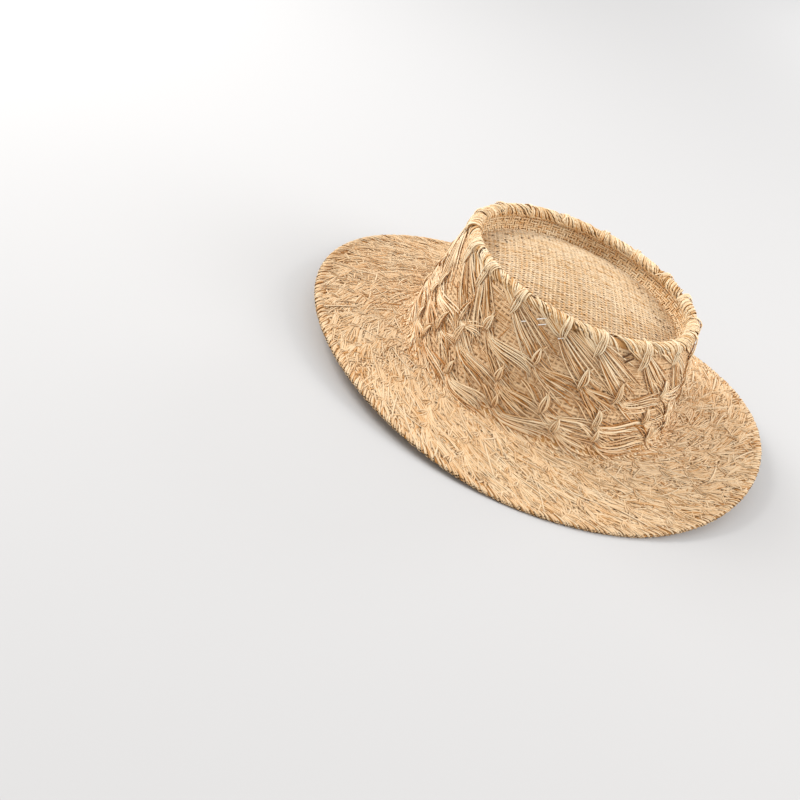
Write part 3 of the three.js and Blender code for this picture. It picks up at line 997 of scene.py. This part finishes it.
def tip_columns(strands, drop, side):
    random = strands.random
    for column, number in tip_lines(TIP_COLUMN, TIP_ROW):
        drift = column * TIP_COLUMN + 0.4 * np.sin(number * 0.07 + column) + random.normal(0, 0.25)
        lift = 0.17 * np.cos(math.pi * (number + column)) - 0.2 + random.normal(0, 0.07, len(number))
        width = TIP_COLUMN * random.uniform(0.6, 0.85) * random.uniform(0.85, 1.1, len(number))
        # Painted shade: the columns' tones are set darker than the rows', for the shade where the rows part
        tone = random.uniform(0.15, 0.6) + random.normal(0, 0.13, len(number))
        tip_strand(strands, drift, number * TIP_ROW, True, lift, width, tone, drop, side)


def make_tip():
    strands = Strands(51, 0.22)
    tip_rows(strands, TIP_TOP_DROP, 1)
    tip_columns(strands, TIP_TOP_DROP, 1)
    dome = Surface([(radius, dome_height(radius)) for radius in np.linspace(1, TIP_RADIUS - 1, 40)])
    strands.mesh("tip_weave", TIP_STRAW, "tip_straw", "crown_tip")
    # Near-black specks towards the tip's edge: painted shade in the holes of its weave
    gaps = Strands(53, 0.1)
    scatter(gaps, dome, dome.length - 18, dome.length - 2, TIP_HOLE_SHADE)
    gaps.mesh("tip_hole_shade", PAINTED_HOLE_SHADE, "tip_straw", "crown_tip")
    under = Strands(52, 0.3)
    tip_rows(under, TIP_UNDER_DROP, -1, 2)
    tip_columns(under, TIP_UNDER_DROP, -1)
    under.mesh("tip_underside", TIP_STRAW, "tip_straw", "crown_tip")


def collar_section():
    return [(TIP_RADIUS - 1.0, TIP_EDGE - 0.6), (TIP_RADIUS + 0.5, TIP_EDGE + 0.3),
            (TIP_RADIUS + 1.6, TIP_EDGE + 2.5), (WALL_TOP_RADIUS - 4.9, WALL_TOP + 1.5)]


def make_collar():
    surface = Surface(collar_section())
    strands = Strands(61, 0.15)
    weave(strands, surface, 0.4, surface.length - 0.2, 8, 230, COLLAR_WEAVE)
    strands.mesh("collar_weave", RIM_STRAW, "tip_straw", "crown_tip")


def make_underside():
    """The weave seen from below: under the brim from its edge inward, and up the inside of the wall."""
    low = BRIM_MIDDLE - BRIM_THICKNESS / 2 + 0.35
    brim = [(radius, low) for radius in np.linspace(BRIM_RADIUS - 5, FOOT_RADIUS - 1, 40)]
    heights = np.linspace(BRIM_TOP, WALL_TOP, 30)
    wall = [(wall_radius(height) - WALL_THICKNESS + 0.3, height) for height in heights]
    surface = Surface(brim + wall)
    turn = length_of(brim)
    under = Strands(71, 0.22)
    weave(under, surface, 0.5, turn, 25, 210, UNDER_WEAVE)
    under.mesh("brim_underside", WEAVE_STRAW, "brim_straw", "brim")
    inside = Strands(72, 0.22)
    weave(inside, surface, turn + 1.0, surface.length - 0.5, 26, 150, UNDER_WEAVE)
    inside.mesh("wall_inside", WEAVE_STRAW, "wall_straw", "crown_wall")


def make_backing():
    # The shells carry no tone, so they show near their straw's dark stop: painted shade for the gaps between
    # the strands over them
    wall = [(radius - 1.15, height) for radius, height in WALL_SECTION[::6] + WALL_SECTION[-1:]]
    brim = [(radius, height - 1.25) for radius, height in BRIM_SECTION[1::8]]
    shell("crown_backing", thin(wall + brim, 0.3), 200, PAINTED_SHADE_BACKING, "wall_straw")
    rim = rim_section(360, 20, 1.0, 18)
    shell("rim_backing", rim, 200, WEAVE_STRAW, "rim_straw")
    dome = [(0.05, dome_height(0.0) - 0.9)]
    dome += [(radius, dome_height(radius) - 0.9) for radius in np.linspace(6, TIP_RADIUS - 1, 12)]
    collar = [(radius + 0.9, height) for radius, height in collar_section()[1:]]
    shell("tip_backing", thin(dome + collar, -0.3), 160, PAINTED_SHADE_BACKING, "tip_straw")


def plain_material(name, color, roughness):
    material = bpy.data.materials.new(name)
    material.use_nodes = True
    shader = material.node_tree.nodes["Principled BSDF"]
    shader.inputs["Base Color"].default_value = (*color, 1)
    shader.inputs["Roughness"].default_value = roughness
    return material


def make_floor():
    size = 40.0
    mesh = bpy.data.meshes.new("floor")
    corners = [(-size, -size, 0), (size, -size, 0), (size, size, 0), (-size, size, 0)]
    mesh.from_pydata(corners, [], [(0, 1, 2, 3)])
    mesh.materials.append(plain_material("floor_white", (0.56, 0.56, 0.565), 0.9))
    add_object("floor", mesh)


def make_light(name, at, aim, size, power, color):
    data = bpy.data.lights.new(name, "AREA")
    data.shape = "DISK"
    data.size = size
    data.energy = power
    data.color = color
    light = add_object(name, data)
    light.location = at
    light.rotation_euler = (Vector(aim) - Vector(at)).to_track_quat("-Z", "Y").to_euler()


# Name, place, aim, size in metres, power in watts and colour of each light
LIGHTS = (
    ("wash", (-0.95, 0.75, 0.6), (-0.4, 0.2, 0), 0.5, 3.5, (1.0, 1.0, 1.0)),
    ("key", (-1.2, 0.4, 1.1), (0, 0, 0.03), 0.8, 15.6, (1.0, 0.98, 0.95)),
    ("back", (1.3, 1.7, 0.8), (1.1, 1.4, 0), 0.6, 10.0, (1.0, 1.0, 1.0)),
    ("fill", (1.4, -0.3, 0.9), (0, 0, 0.03), 1.0, 13.5, (1.0, 0.98, 0.96)),
)


def make_lights():
    world = bpy.data.worlds.new("studio")
    world.use_nodes = True
    background = world.node_tree.nodes["Background"]
    background.inputs["Color"].default_value = (1.0, 0.99, 0.98, 1)
    background.inputs["Strength"].default_value = 0.82
    bpy.context.scene.world = world
    bpy.context.scene.view_settings.view_transform = "Standard"
    for light in LIGHTS:
        make_light(*light)


def make_camera():
    data = bpy.data.cameras.new("camera")
    data.sensor_width = 36.0
    data.lens = CAMERA_LENS
    data.clip_end = 200.0
    camera = add_object("camera", data)
    at = Vector(CAMERA_AT) * MM
    aim = Vector(CAMERA_AIM) * MM
    level = (aim - at).to_track_quat("-Z", "Y").to_matrix().to_4x4()
    roll = Matrix.Rotation(math.radians(CAMERA_ROLL), 4, "Z")
    camera.matrix_world = Matrix.Translation(at) @ level @ roll
    bpy.context.scene.camera = camera


make_camera()
make_floor()
make_lights()
make_backing()
make_wall()
make_singles("white_strands", 13, WHITE_STRANDS, 0.8, 1.1, WHITE_STRAW)
# Near-black strands painted as the shade in two holes between the wall's bundles
make_singles("wall_hole_shades", 14, WALL_HOLE_SHADES, 1.3, 1.8, PAINTED_HOLE_SHADE)
make_brim()
make_edge()
make_rim()
make_tip()
make_collar()
make_underside()
